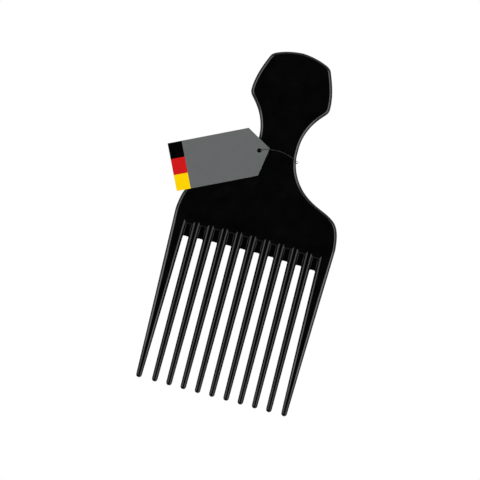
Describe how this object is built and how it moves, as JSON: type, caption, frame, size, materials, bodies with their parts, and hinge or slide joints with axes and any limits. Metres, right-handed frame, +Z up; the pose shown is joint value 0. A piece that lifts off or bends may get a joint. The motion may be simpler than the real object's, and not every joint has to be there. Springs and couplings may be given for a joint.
{
  "type": "wide-tooth styling comb",
  "caption": "Wide-tooth black plastic styling comb with a flared palm grip, sunk pockets over the slots and a card swing tag on a thread loop round its neck.",
  "frame": {"origin": "under the middle of the comb, on the flat back face that it rests on", "axes": "+Z up out of the comb's face, +Y along the comb towards the palm grip (the tooth tips are at -Y), +X to the right with the tag to the left"},
  "size_m": [0.0907, 0.17, 0.0059],
  "materials": {
    "black_gloss_plastic": "glossy moulded black plastic",
    "printed_card": "matt grey printed card with a band of three colour bars at its square end",
    "grey_thread": "thin twisted grey thread"
  },
  "bodies": {
    "comb": {"comb": "black_gloss_plastic"},
    "thread_loop": {"tag_thread": "grey_thread", "thread_knot": "grey_thread"},
    "tag": {"swing_tag": "printed_card"}
  },
  "joints": [
    {"name": "loop_slide", "type": "slide", "parent": "comb", "child": "thread_loop", "axis": [0, 1, 0], "range_m": [-0.0005, 0.008]},
    {"name": "tag_swing", "type": "hinge", "parent": "thread_loop", "child": "tag", "pos_m": [-0.00816, 0.03465, 0.005], "axis": [0, 0, 1], "range_deg": [-60, 60]}
  ]
}
